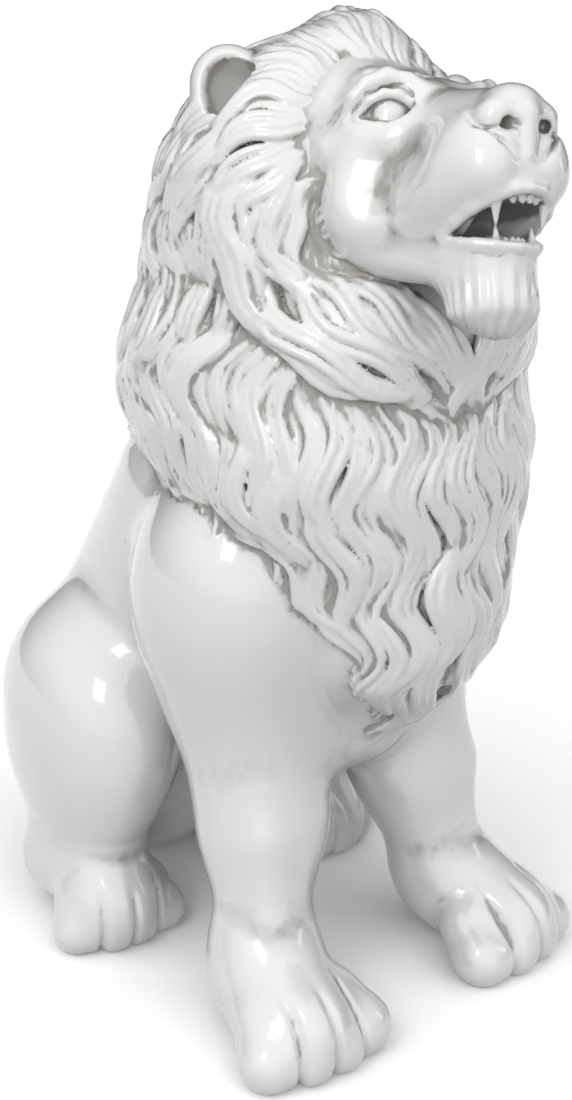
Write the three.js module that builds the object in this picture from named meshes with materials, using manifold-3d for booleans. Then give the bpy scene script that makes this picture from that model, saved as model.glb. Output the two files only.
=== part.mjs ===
// Seated lion with an open mouth, a garden figure cast in one piece.
// Millimetres, +Z up. The lion looks along -Y, and its left side is +X.
// The form is a field of distances: muscles are balls and limbs that melt together, and locks of
// mane lie on them. A net laid over the field is thinned to a light closed skin.
import * as THREE from 'three';
import Module from 'manifold-3d';
import { mergeVertices } from 'three/addons/utils/BufferGeometryUtils.js';

const degree = Math.PI / 180;

// Driving dimensions
const legSpread = 205;        // middle of a front paw from the centre plane
const frontToes = -297;       // notches between the front toes, along Y
const hindToes = 145;         // notches between the hind toes, along Y
const shoulderHeight = 620;
const chestWidth = 210;       // half of the rib cage
const neckRadius = 235;       // core of the mane, under its locks
const headPlace = [0, -221, 1244];  // point between the eyes
const headYaw = -9.6;         // turned towards the lion's right
const headPitch = 20.6;       // looks up
const headRoll = 9.1;         // leans towards the lion's left
const netStep = 12;           // spacing of the net
const triangleGoal = 9500;    // triangles that stay after thinning
const soleDepth = 14;         // the net goes this far below the ground, and is cut off flat there
const netLow = [-390, -520, -30.5];
const netHigh = [390, 680, 1450];
const lockSteps = 7;          // stretches in one lock of mane
const lockFillet = 7;         // softness where locks lie on the mane and on each other
const lockWave = 3;           // degrees that a lock sways to each side

// Distance helpers. A form is a function from a point [x, y, z] to a distance, negative inside.
const length = (x, y, z) => Math.sqrt(x * x + y * y + z * z);

function melt(a, b, k) {
  const h = Math.max(k - Math.abs(a - b), 0) / k;
  return Math.min(a, b) - h * h * k * 0.25;
}

function carve(a, tool, k) {
  return -melt(-a, tool, k);
}

function ball(centre, radii, { tilt = 0, turn = 0, lean = 0 } = {}) {
  const spin = new THREE.Matrix4().makeRotationZ(turn * degree);
  spin.multiply(new THREE.Matrix4().makeRotationX(tilt * degree));
  spin.multiply(new THREE.Matrix4().makeRotationY(lean * degree));
  const m = spin.elements;
  const [ra, rb, rc] = radii;
  return ([px, py, pz]) => {
    const x = px - centre[0];
    const y = py - centre[1];
    const z = pz - centre[2];
    const a = (x * m[0] + y * m[1] + z * m[2]) / ra;
    const b = (x * m[4] + y * m[5] + z * m[6]) / rb;
    const c = (x * m[8] + y * m[9] + z * m[10]) / rc;
    const k0 = length(a, b, c);
    const k1 = Math.max(length(a / ra, b / rb, c / rc), 1e-9);
    return (k0 * (k0 - 1)) / k1;
  };
}

function limb(from, to, fromRadius, toRadius) {
  const [dx, dy, dz] = [to[0] - from[0], to[1] - from[1], to[2] - from[2]];
  const square = dx * dx + dy * dy + dz * dz;
  return ([px, py, pz]) => {
    const x = px - from[0];
    const y = py - from[1];
    const z = pz - from[2];
    const h = Math.min(Math.max((x * dx + y * dy + z * dz) / square, 0), 1);
    return length(x - h * dx, y - h * dy, z - h * dz) - (fromRadius + (toRadius - fromRadius) * h);
  };
}

function limbChain(points, radii, k) {
  const parts = points.slice(1).map((p, i) => limb(points[i], p, radii[i], radii[i + 1]));
  return (p) => parts.reduce((d, part) => melt(d, part(p), k), Infinity);
}

function block(centre, half, round) {
  return (p) => {
    const q = p.map((v, i) => Math.abs(v - centre[i]) - half[i]);
    const outside = length(Math.max(q[0], 0), Math.max(q[1], 0), Math.max(q[2], 0));
    return outside + Math.min(Math.max(q[0], q[1], q[2]), 0) - round;
  };
}

// Forms joined in order, each with the width of the fillet where it meets the ones before.
function sum(...steps) {
  return (p) => steps.reduce((d, [form, k]) => melt(d, form(p), k), Infinity);
}

const mirrored = ([x, y, z]) => [Math.abs(x), y, z];

// The head has its own frame: to the lion's left, forward and up, from the point between the eyes.
function headAxes() {
  const [yaw, pitch, roll] = [headYaw * degree, headPitch * degree, headRoll * degree];
  const forward = new THREE.Vector3(
    Math.sin(yaw) * Math.cos(pitch), -Math.cos(yaw) * Math.cos(pitch), Math.sin(pitch));
  const level = new THREE.Vector3(Math.cos(yaw), Math.sin(yaw), 0);
  const upright = new THREE.Vector3().crossVectors(level, forward).negate();
  const left = level.clone().multiplyScalar(Math.cos(roll)).addScaledVector(upright, -Math.sin(roll));
  const up = upright.clone().multiplyScalar(Math.cos(roll)).addScaledVector(level, Math.sin(roll));
  return [left, forward, up];
}
const axes = headAxes();

function toHead([px, py, pz]) {
  const [x, y, z] = [px - headPlace[0], py - headPlace[1], pz - headPlace[2]];
  return axes.map((a) => a.x * x + a.y * y + a.z * z);
}

function fromHead([a, b, c]) {
  return ['x', 'y', 'z'].map((k, i) => headPlace[i] + axes[0][k] * a + axes[1][k] * b + axes[2][k] * c);
}

// A paw: four toes that fan forward from the wrist.
function paw({ x, y, turn, toe, reach, rise, spacing }) {
  const forward = [Math.sin(turn * degree), -Math.cos(turn * degree)];
  const across = [-forward[1], forward[0]];
  const toes = [-1.5, -0.5, 0.5, 1.5].map((slot) => {
    const setBack = toe * (Math.abs(slot) > 1 ? 1.2 : 0.85);
    const at = (side, ahead) => [0, 1].map((i) => [x, y][i] + across[i] * side + forward[i] * ahead);
    const tip = at(slot * spacing, -setBack);
    const root = at(slot * spacing * 0.8, -reach);
    const bone = limb([...tip, toe * 0.9], [...root, rise], toe, toe * 0.95);
    const pad = ball([...tip, toe * 0.85], [toe, toe * 1.15, toe * 1.05], { turn });
    return sum([bone, 1], [pad, 10]);
  });
  const grooves = [-1, 0, 1].map((slot) => {
    const at = (side, ahead) => [0, 1].map((i) => [x, y][i] + across[i] * side + forward[i] * ahead);
    const front = [...at(slot * spacing, toe * 0.4), toe * 0.9];
    const back = [...at(slot * spacing * 0.85, -reach * 0.75), rise + toe * 0.95];
    return limb(front, back, toe * 0.22, toe * 0.14);
  });
  const foot = sum(...toes.map((form) => [form, 6]));
  return { foot, grooves };
}

// Trunk, haunches and legs, modelled for one side and mirrored
function bodyForm() {
  const rump = ball([0, 400, 220], [180, 165, 220]);
  const loin = limb([0, 360, 360], [0, 130, 680], 190, 200);
  const ribs = ball([0, -40, shoulderHeight + 20], [chestWidth, 200, 220]);
  const brisket = ball([0, -40, 470], [140, 140, 150]);
  const trunk = sum([rump, 1], [loin, 100], [ribs, 100], [brisket, 80]);
  const haunch = sum(
    [ball([200, 305, 295], [105, 185, 205], { tilt: -14, turn: 10 }), 1],
    [ball([195, 210, 340], [90, 110, 120]), 60]);
  const hock = limb([215, 330, 85], [224, 210, 85], 74, 70);
  const hindPaw = paw({ x: 230, y: hindToes, turn: 12, toe: 33, reach: 70, rise: 55, spacing: 47 });
  const hindFoot = sum([hock, 1], [hindPaw.foot, 30]);
  const shoulder = ball([165, -30, shoulderHeight], [127, 155, 180], { tilt: 14 });
  const upperArm = ball([140, -40, 500], [112, 115, 150]);
  const foreleg = limbChain([[125, -30, 440], [143, -68, 300], [172, -105, 140]], [105, 78, 70], 40);
  const heel = ball([200, -180, 72], [82, 130, 70], { turn: 7 });
  const frontPaw = paw({
    x: legSpread, y: frontToes, turn: 7, toe: 40, reach: 90, rise: 65, spacing: 52 });
  const arm = sum([shoulder, 1], [upperArm, 60], [foreleg, 50], [heel, 40], [frontPaw.foot, 35]);
  const grooves = [...hindPaw.grooves, ...frontPaw.grooves];
  return (p) => {
    const m = mirrored(p);
    const whole = melt(melt(melt(trunk(p), haunch(m), 35), hindFoot(m), 50), arm(m), 50);
    return p[2] > 200 ? whole : grooves.reduce((d, groove) => carve(d, groove(m), 14), whole);
  };
}

// Tail: leaves the rump, lies on the ground and ends in a tuft beside the left hock
function tailForm() {
  const path = [[0, 512, 145], [45, 537, 60], [105, 522, 36], [165, 480, 35]];
  const stem = limbChain(path, [50, 36, 30, 28], 30);
  return sum([stem, 1], [ball([213, 436, 42], [38, 64, 42], { turn: 38 }), 30]);
}

// Core of the mane, which the locks lie on
function maneCoreForm() {
  const crown = ball([0, -170, 0], [165, 150, 148]);
  const quiff = ball([0, -185, 95], [70, 78, 90]);
  const neck = sum(
    [ball([0, 10, 920], [neckRadius, neckRadius - 30, 240]), 1],
    [ball([0, -118, 830], [215, 180, 170]), 50],
    [ball([0, -100, 680], [170, 200, 220], { tilt: -8 }), 60],
    [limb([0, -150, 600], [0, -110, 430], 110, 55), 60],
    [ball([12, -145, 980], [188, 143, 135]), 50]);
  const scruff = ball([-8, -12, 1130], [190, 175, 195]);
  return (p) => melt(melt(melt(neck(p), scruff(p), 60), crown(toHead(p)), 60), quiff(toHead(p)), 50);
}

// Head, in its own frame
function headForm() {
  const skull = sum(
    [ball([0, -100, -20], [118, 140, 100]), 1],
    [ball([0, -30, 5], [85, 75, 55]), 40]);
  const brow = ball([52, 12, 40], [34, 30, 20], { turn: -22, lean: 20 });
  const bridge = limb([0, 0, -2], [0, 155, -26], 44, 34);
  const lipPad = sum(
    [ball([40, 115, -85], [40, 75, 46]), 1],
    [ball([29, 164, -84], [35, 34, 43]), 20]);
  const lipMiddle = ball([0, 178, -98], [22, 20, 24]);
  const nose = sum(
    [ball([0, 172, -20], [46, 30, 30]), 1],
    [limb([0, 182, -35], [0, 190, -68], 26, 12), 10]);
  const cheek = sum(
    [limb([40, 100, -90], [68, -10, -90], 45, 55), 1],
    [ball([68, -50, -85], [55, 80, 80]), 40],
    [limb([70, 30, -22], [100, -60, -18], 18, 25), 35],
    [ball([40, 55, -135], [30, 62, 45]), 30]);
  const jaw = ball([0, 108, -192], [50, 65, 26]);
  const beard = block([0, 112, -218], [26, 26, 24], 14);
  const beardTip = ball([0, 125, -240], [28, 26, 24]);
  const jawSide = limb([66, -50, -125], [36, 85, -180], 44, 26);
  const socket = ball([78, 40, 6], [30, 22, 18], { turn: -25 });
  const eye = ball([68, 22, 6], [26, 24, 20]);
  const nostril = limb([20, 215, -42], [30, 180, -40], 9, 6);
  const throat = limb([0, 160, -148], [0, 75, -152], 26, 16);
  return (p) => {
    const h = toHead(p);
    const m = mirrored(h);
    let d = melt(skull(h), brow(m), 20);
    d = melt(d, bridge(h), 30);
    d = melt(d, lipPad(m), 30);
    d = melt(d, lipMiddle(h), 14);
    d = melt(d, nose(h), 12);
    d = melt(d, cheek(m), 40);
    const lower = melt(melt(melt(jaw(h), beard(m), 20), beardTip(h), 15), jawSide(m), 40);
    d = melt(d, lower, 12);
    d = carve(d, melt(mouthWedge(h), throat(h), 10), 10);
    d = carve(d, nostril(m), 4);
    d = carve(d, socket(m), 12);
    return melt(d, eye(m), 4);
  };
}

// The open mouth is a wedge across the muzzle, with its edge at the corners of the lips
function mouthWedge([, ahead, up]) {
  const corner = { ahead: 106, up: -152 };
  const [palateSlope, tongueSlope] = [0.36, 0.22];
  const run = ahead - corner.ahead;
  const rise = up - corner.up;
  const roof = (rise - run * palateSlope) * 0.94;
  const floor = (-rise - run * tongueSlope) * 0.976;
  return Math.max(roof, floor);
}

function earForm() {
  const shell = ball([172, -205, 95], [50, 30, 62], { turn: -30, lean: 20 });
  const cup = ball([184, -182, 93], [34, 24, 44], { turn: -30, lean: 20 });
  return (p) => {
    const m = mirrored(toHead(p));
    return carve(shell(m), cup(m), 8);
  };
}

const body = bodyForm();
const tail = tailForm();
const maneCore = maneCoreForm();
const head = headForm();
const ear = earForm();
const maneBed = (p) => melt(melt(body(p), maneCore(p), 20), head(p), 15);

// Locks of mane. Each runs down the bed from a root to a tip; angle 0 is the front of the neck.
function pointOnBed(angle, height, lift) {
  const axisY = -90 + (Math.min(Math.max(height, 450), 1200) - 450) * 0.09;
  const [dx, dy] = [Math.sin(angle * degree), -Math.cos(angle * degree)];
  let reach = 420;
  const at = (r) => [dx * r, axisY + dy * r, height];
  for (let i = 0; i < 24; i++) reach -= maneBed(at(reach)) * 0.85;
  return at(reach + lift);
}

// The same bed in directions from the middle of the head: opening 0 is straight ahead, and
// round 0 is above the face and 180 below it.
function pointAroundFace(opening, round, lift) {
  const middle = [0, -110, -20];
  const [o, r] = [opening * degree, round * degree];
  const ray = [Math.sin(o) * Math.sin(r), Math.cos(o), Math.sin(o) * Math.cos(r)];
  const at = (reach) => fromHead(middle.map((v, i) => v + ray[i] * reach));
  let reach = 330;
  for (let i = 0; i < 24; i++) reach -= maneBed(at(reach)) * 0.85;
  return at(reach + lift);
}

// A lock swells from its root and tapers to its tip
function lock(route, radius) {
  const points = [];
  const radii = [];
  for (let i = 0; i <= lockSteps; i++) {
    const t = i / lockSteps;
    const lift = 0.2 * Math.sin(Math.PI * t) - 0.05;
    const girth = 0.4 + 0.6 * Math.sin(Math.PI * (0.18 + 0.72 * t));
    points.push(route(t, radius * lift));
    radii.push(radius * girth);
  }
  return { points, radii, form: limbChain(points, radii, 8) };
}

// Tiers round the neck, from the chest up to the nape; each reaches round to its own angle
const tiers = [
  { upto: 30, count: 5, top: 580, bottom: 425, sideTop: 700, sideBottom: 560, pull: 0.7, radius: 30 },
  { upto: 60, count: 8, top: 740, bottom: 500, sideTop: 800, sideBottom: 640, pull: 0.35, radius: 31 },
  { upto: 180, count: 20, top: 900, bottom: 690, sideTop: 960, sideBottom: 700, pull: 0.1, radius: 33 },
  { upto: 180, count: 20, top: 1010, bottom: 880, sideTop: 1130, sideBottom: 900, pull: 0.2, radius: 33 },
];
const nape = { from: 75, count: 12, top: 1240, bottom: 1060, radius: 32 };
const ruff = { from: 48, count: 16, opening: 66, sweep: 46, droop: 26, radius: 25 };
const crest = { width: 34, count: 5, opening: 64, sweep: 62, radius: 25 };

function maneLocks() {
  const locks = [];
  const wave = (t, phase) => lockWave * Math.sin(7 * t + phase);
  for (const tier of tiers) {
    for (let i = 0; i < tier.count; i++) {
      const angle = -tier.upto + (2 * tier.upto * (i + 0.5)) / tier.count;
      const side = Math.min(Math.abs(angle) / 90, 1);
      const top = tier.top + (tier.sideTop - tier.top) * side;
      const bottom = tier.bottom + (tier.sideBottom - tier.bottom) * side;
      const drift = -Math.min(Math.abs(angle), 180 - Math.abs(angle)) * Math.sign(angle) * tier.pull;
      locks.push(lock((t, lift) =>
        pointOnBed(angle + drift * t + wave(t, i * 2.4), top + (bottom - top) * t, lift), tier.radius));
    }
  }
  for (let i = 0; i < nape.count; i++) {
    const angle = nape.from + ((360 - 2 * nape.from) * (i + 0.5)) / nape.count;
    locks.push(lock((t, lift) =>
      pointOnBed(angle + wave(t, i * 2), nape.top + (nape.bottom - nape.top) * t, lift), nape.radius));
  }
  for (let i = 0; i < ruff.count; i++) {
    const round = ruff.from + ((360 - 2 * ruff.from) * (i + 0.5)) / ruff.count;
    const droop = Math.sin(round * degree) * ruff.droop;
    locks.push(lock((t, lift) =>
      pointAroundFace(ruff.opening + ruff.sweep * t, round + droop * t + wave(t, i), lift), ruff.radius));
  }
  for (let i = 0; i < crest.count; i++) {
    const round = crest.width * ((2 * i) / (crest.count - 1) - 1);
    locks.push(lock((t, lift) =>
      pointAroundFace(crest.opening + crest.sweep * t, round * (1 + 0.3 * t), lift), crest.radius));
  }
  return locks;
}

// The field at the knots of a square net
function fieldSamples(low, counts, step) {
  const field = new Float32Array(counts[0] * counts[1] * counts[2]);
  const index = (i, j, k) => (i * counts[1] + j) * counts[2] + k;
  const point = (i, j, k) => [low[0] + i * step, low[1] + j * step, low[2] + k * step];
  for (let i = 0; i < counts[0]; i++) {
    for (let j = 0; j < counts[1]; j++) {
      for (let k = 0; k < counts[2]; k++) {
        const p = point(i, j, k);
        const whole = melt(melt(maneBed(p), ear(p), 15), tail(p), 20);
        field[index(i, j, k)] = Math.max(whole, -soleDepth - p[2]);
      }
    }
  }
  return { field, index, point, low, counts, step };
}

// Melts a lock into the field, at the knots near it
function layLock(grid, points, radii, form) {
  const margin = Math.max(...radii) + 2 * grid.step;
  const from = [0, 1, 2].map((a) => {
    const least = Math.min(...points.map((p) => p[a])) - margin;
    return Math.max(0, Math.floor((least - grid.low[a]) / grid.step));
  });
  const to = [0, 1, 2].map((a) => {
    const most = Math.max(...points.map((p) => p[a])) + margin;
    return Math.min(grid.counts[a] - 1, Math.ceil((most - grid.low[a]) / grid.step));
  });
  for (let i = from[0]; i <= to[0]; i++) {
    for (let j = from[1]; j <= to[1]; j++) {
      for (let k = from[2]; k <= to[2]; k++) {
        const at = grid.index(i, j, k);
        grid.field[at] = melt(grid.field[at], form(grid.point(i, j, k)), lockFillet);
      }
    }
  }
}

// Keeps one body: closes hollows that have no opening and drops crumbs
function keepOneBody(grid) {
  const { field, index, counts } = grid;
  const flood = (start, wanted) => {
    const seen = new Uint8Array(field.length);
    const stack = [start];
    seen[index(...start)] = 1;
    while (stack.length) {
      const [i, j, k] = stack.pop();
      for (const [a, b, c] of [[1, 0, 0], [-1, 0, 0], [0, 1, 0], [0, -1, 0], [0, 0, 1], [0, 0, -1]]) {
        const [x, y, z] = [i + a, j + b, k + c];
        if (x < 0 || y < 0 || z < 0 || x >= counts[0] || y >= counts[1] || z >= counts[2]) continue;
        const at = index(x, y, z);
        if (seen[at] || (field[at] < 0) !== wanted) continue;
        seen[at] = 1;
        stack.push([x, y, z]);
      }
    }
    return seen;
  };
  const air = flood([0, 0, 0], false);
  const chest = [0, -40, 640].map((v, a) => Math.round((v - grid.low[a]) / grid.step));
  const flesh = flood(chest, true);
  const slight = grid.step * 0.1;
  for (let at = 0; at < field.length; at++) {
    if (field[at] < 0 && !flesh[at]) field[at] = slight;
    else if (field[at] >= 0 && !air[at]) field[at] = -slight;
  }
}

// Fills the cells where two stretches of skin would meet in one point or along one edge
function closePinches(grid) {
  const { field, index, counts } = grid;
  const corners = [];
  for (const a of [0, 1]) for (const b of [0, 1]) for (const c of [0, 1]) corners.push([a, b, c]);
  const near = corners.map((p) => corners.flatMap((q, n) =>
    Math.abs(p[0] - q[0]) + Math.abs(p[1] - q[1]) + Math.abs(p[2] - q[2]) === 1 ? [n] : []));
  const connected = (mask, wanted) => {
    const start = mask.indexOf(wanted);
    if (start < 0) return true;
    const seen = new Set([start]);
    for (const n of seen) for (const m of near[n]) if (mask[m] === wanted) seen.add(m);
    return seen.size === mask.filter((v) => v === wanted).length;
  };
  const faces = [0, 1, 2].flatMap((axis) => [0, 1].map((side) =>
    corners.flatMap((p, n) => (p[axis] === side ? [n] : []))));
  const crossed = (mask) => faces.some(([a, b, c, d]) =>
    mask[a] === mask[d] && mask[b] === mask[c] && mask[a] !== mask[b]);
  for (let round = 0; round < 20; round++) {
    let changes = 0;
    for (let i = 0; i < counts[0] - 1; i++) {
      for (let j = 0; j < counts[1] - 1; j++) {
        for (let k = 0; k < counts[2] - 1; k++) {
          const at = corners.map(([a, b, c]) => index(i + a, j + b, k + c));
          const mask = at.map((n) => field[n] < 0);
          const inside = mask.filter(Boolean).length;
          if (inside < 2 || inside > 6) continue;
          if (!crossed(mask) && connected(mask, true) && connected(mask, false)) continue;
          const outside = at.filter((n) => field[n] >= 0).sort((m, n) => field[m] - field[n]);
          field[outside[0]] = -grid.step * 0.1;
          changes++;
        }
      }
    }
    if (!changes) return;
  }
}

// The skin: one vertex in each cell that the surface crosses, and a square over each crossed edge
function skin(grid) {
  const { field, index, counts } = grid;
  const ids = new Int32Array(field.length).fill(-1);
  const vertices = [];
  const cellEdges = [];
  for (const axis of [0, 1, 2]) {
    for (const u of [0, 1]) {
      for (const v of [0, 1]) {
        const from = [0, 0, 0];
        from[(axis + 1) % 3] = u;
        from[(axis + 2) % 3] = v;
        const to = [...from];
        to[axis] = 1;
        cellEdges.push([from, to]);
      }
    }
  }
  for (let i = 0; i < counts[0] - 1; i++) {
    for (let j = 0; j < counts[1] - 1; j++) {
      for (let k = 0; k < counts[2] - 1; k++) {
        const total = [0, 0, 0];
        let crossings = 0;
        for (const [from, to] of cellEdges) {
          const a = field[index(i + from[0], j + from[1], k + from[2])];
          const b = field[index(i + to[0], j + to[1], k + to[2])];
          if (a < 0 === b < 0) continue;
          const t = a / (a - b);
          for (const n of [0, 1, 2]) total[n] += from[n] + (to[n] - from[n]) * t;
          crossings++;
        }
        if (!crossings) continue;
        ids[index(i, j, k)] = vertices.length;
        const cell = [i, j, k];
        const place = total.map((v, n) => grid.low[n] + grid.step * (cell[n] + v / crossings));
        vertices.push(place);
      }
    }
  }
  const triangles = [];
  for (let i = 1; i < counts[0] - 1; i++) {
    for (let j = 1; j < counts[1] - 1; j++) {
      for (let k = 1; k < counts[2] - 1; k++) {
        for (const axis of [0, 1, 2]) {
          const next = [i, j, k];
          next[axis]++;
          const inside = field[index(i, j, k)] < 0;
          if (inside === field[index(...next)] < 0) continue;
          const ring = [[1, 1], [0, 1], [0, 0], [1, 0]].map(([u, v]) => {
            const cell = [i, j, k];
            cell[(axis + 1) % 3] -= u;
            cell[(axis + 2) % 3] -= v;
            return ids[index(...cell)];
          });
          if (!inside) ring.reverse();
          triangles.push([ring[0], ring[1], ring[2]], [ring[0], ring[2], ring[3]]);
        }
      }
    }
  }
  return { vertices, triangles };
}

// Thins the net by collapsing the edges that change the shape least
function thin({ vertices, triangles }, goal) {
  const cross = (p, q, r) => {
    const [ux, uy, uz] = [q[0] - p[0], q[1] - p[1], q[2] - p[2]];
    const [vx, vy, vz] = [r[0] - p[0], r[1] - p[1], r[2] - p[2]];
    return [uy * vz - uz * vy, uz * vx - ux * vz, ux * vy - uy * vx];
  };
  const around = vertices.map(() => new Set());
  triangles.forEach((t, n) => t.forEach((v) => around[v].add(n)));
  const quadrics = vertices.map(() => new Float64Array(10));
  for (const t of triangles) {
    const p = vertices[t[0]];
    const n = cross(p, vertices[t[1]], vertices[t[2]]);
    const area = length(...n) || 1e-9;
    const [a, b, c] = n.map((v) => v / area);
    const d = -(a * p[0] + b * p[1] + c * p[2]);
    const q = [a * a, a * b, a * c, a * d, b * b, b * c, b * d, c * c, c * d, d * d];
    for (const v of t) q.forEach((value, i) => { quadrics[v][i] += value * area; });
  }
  const error = (q, [x, y, z]) => q[0] * x * x + 2 * q[1] * x * y + 2 * q[2] * x * z + 2 * q[3] * x
    + q[4] * y * y + 2 * q[5] * y * z + 2 * q[6] * y + q[7] * z * z + 2 * q[8] * z + q[9];
  const best = (q, u, v) => {
    const choices = [[...u], [...v], u.map((value, i) => (value + v[i]) / 2)];
    const m = new THREE.Matrix3().set(q[0], q[1], q[2], q[1], q[4], q[5], q[2], q[5], q[7]);
    if (Math.abs(m.determinant()) > 1e-3 * (q[0] + q[4] + q[7]) ** 3) {
      const p = new THREE.Vector3(-q[3], -q[6], -q[8]).applyMatrix3(m.invert());
      choices.push([p.x, p.y, p.z]);
    }
    const costs = choices.map((p) => error(q, p));
    const n = costs.indexOf(Math.min(...costs));
    return { place: choices[n], cost: Math.max(costs[n], 0) };
  };
  const stamps = new Int32Array(vertices.length);
  const heap = [];
  const swap = (i, j) => { [heap[i], heap[j]] = [heap[j], heap[i]]; };
  const push = (item) => {
    heap.push(item);
    for (let i = heap.length - 1; i > 0;) {
      const parent = (i - 1) >> 1;
      if (heap[parent].cost <= heap[i].cost) break;
      swap(i, parent);
      i = parent;
    }
  };
  const pop = () => {
    const top = heap[0];
    const last = heap.pop();
    if (heap.length) {
      heap[0] = last;
      for (let i = 0; ;) {
        const kids = [2 * i + 1, 2 * i + 2].filter((n) => n < heap.length);
        if (!kids.length) break;
        const least = kids.reduce((m, n) => (heap[n].cost < heap[m].cost ? n : m));
        if (heap[i].cost <= heap[least].cost) break;
        swap(i, least);
        i = least;
      }
    }
    return top;
  };
  const offer = (u, v) => {
    const q = quadrics[u].map((value, i) => value + quadrics[v][i]);
    const edge = length(...vertices[u].map((value, i) => value - vertices[v][i]));
    const { place, cost } = best(q, vertices[u], vertices[v]);
    push({ u, v, place, q, cost: cost + 0.004 * edge ** 3, stamp: stamps[u] + stamps[v] });
  };
  const neighbours = (v) => new Set([...around[v]].flatMap((n) => triangles[n]).filter((w) => w !== v));
  vertices.forEach((_, u) => neighbours(u).forEach((v) => { if (u < v) offer(u, v); }));
  let left = triangles.length;
  while (left > goal && heap.length) {
    const { u, v, place, q, stamp } = pop();
    if (!around[u].size || !around[v].size || stamps[u] + stamps[v] !== stamp) continue;
    const ringU = neighbours(u);
    const ringV = neighbours(v);
    if (!ringU.has(v) || [...ringU].filter((w) => ringV.has(w)).length !== 2) continue;
    const shared = [...around[u]].filter((n) => around[v].has(n));
    const kept = [...around[u], ...around[v]].filter((n) => !shared.includes(n));
    const flips = kept.some((n) => {
      const before = triangles[n].map((w) => vertices[w]);
      const after = triangles[n].map((w) => (w === u || w === v ? place : vertices[w]));
      const [a, b] = [cross(...before), cross(...after)];
      const dot = a[0] * b[0] + a[1] * b[1] + a[2] * b[2];
      return dot < 0.55 * length(...a) * length(...b) || length(...b) < 4;
    });
    if (flips) continue;
    for (const n of shared) {
      triangles[n].forEach((w) => around[w].delete(n));
      left--;
    }
    for (const n of around[v]) {
      triangles[n] = triangles[n].map((w) => (w === v ? u : w));
      around[u].add(n);
    }
    around[v].clear();
    vertices[u] = place;
    quadrics[u] = q;
    stamps[u]++;
    stamps[v]++;
    neighbours(u).forEach((w) => offer(u, w));
  }
  const live = new Set(around.flatMap((set) => [...set]));
  return { vertices, triangles: [...live].map((n) => triangles[n]) };
}

function toGeometry({ vertices, triangles }) {
  const geometry = new THREE.BufferGeometry();
  geometry.setAttribute('position', new THREE.Float32BufferAttribute(vertices.flat(), 3));
  geometry.setIndex(triangles.flat());
  return mergeVertices(geometry, 1e-4);
}

// Canine teeth, each a cone from the gum to its tip
const upperCanine = { side: 34, ahead: 172, from: -104, to: -151, radius: 9 };
const lowerCanine = { side: 26, ahead: 160, from: -192, to: -150, radius: 8 };
const canines = [upperCanine, lowerCanine].flatMap((tooth) => [tooth, { ...tooth, side: -tooth.side }]);

function toothGeometry({ side, ahead, from, to, radius }) {
  const cone = new THREE.ConeGeometry(radius, Math.abs(to - from), 8, 1);
  const root = new THREE.Vector3(...fromHead([side, ahead, from]));
  const tip = new THREE.Vector3(...fromHead([side * 0.94, ahead - 4, to]));
  const along = tip.clone().sub(root).normalize();
  cone.applyQuaternion(new THREE.Quaternion().setFromUnitVectors(new THREE.Vector3(0, 1, 0), along));
  cone.translate(...root.add(tip).multiplyScalar(0.5).toArray());
  cone.deleteAttribute('normal');
  cone.deleteAttribute('uv');
  return mergeVertices(cone, 1e-4);
}

// Ground that cuts the soles flat
function groundGeometry() {
  const [wide, deep] = [1600, 200];
  const ground = new THREE.BoxGeometry(wide, wide, deep);
  ground.translate(0, 0, -deep / 2);
  ground.deleteAttribute('normal');
  ground.deleteAttribute('uv');
  return mergeVertices(ground, 1e-4);
}

const wasm = await Module();
wasm.setup();

function toSolid(geometry) {
  return new wasm.Manifold(new wasm.Mesh({
    numProp: 3,
    vertProperties: new Float32Array(geometry.attributes.position.array),
    triVerts: new Uint32Array(geometry.index.array),
  }));
}

function fromSolid(solid) {
  const { vertProperties, triVerts } = solid.getMesh();
  const geometry = new THREE.BufferGeometry();
  geometry.setAttribute('position', new THREE.BufferAttribute(vertProperties, 3));
  geometry.setIndex(new THREE.BufferAttribute(triVerts, 1));
  return geometry;
}

function lionGeometry() {
  const counts = netLow.map((v, a) => Math.ceil((netHigh[a] - v) / netStep) + 1);
  const grid = fieldSamples(netLow, counts, netStep);
  for (const { points, radii, form } of maneLocks()) layLock(grid, points, radii, form);
  keepOneBody(grid);
  closePinches(grid);
  const light = thin(skin(grid), triangleGoal);
  let solid = toSolid(toGeometry(light));
  for (const tooth of canines) solid = solid.add(toSolid(toothGeometry(tooth)));
  const geometry = fromSolid(solid.subtract(toSolid(groundGeometry())));
  geometry.computeBoundingBox();
  const middle = geometry.boundingBox.getCenter(new THREE.Vector3());
  geometry.translate(-middle.x, -middle.y, 0);
  geometry.computeVertexNormals();
  return geometry;
}

const glossWhite = new THREE.MeshStandardMaterial({ color: 0xefeeec, roughness: 0.18, metalness: 0 });

const lion = new THREE.Mesh(lionGeometry(), glossWhite);
lion.name = 'lion';

const model = new THREE.Group();
model.add(lion);

export default model;
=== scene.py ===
import math
import time

import bpy
import numpy as np
from mathutils import Matrix, Vector


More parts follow.
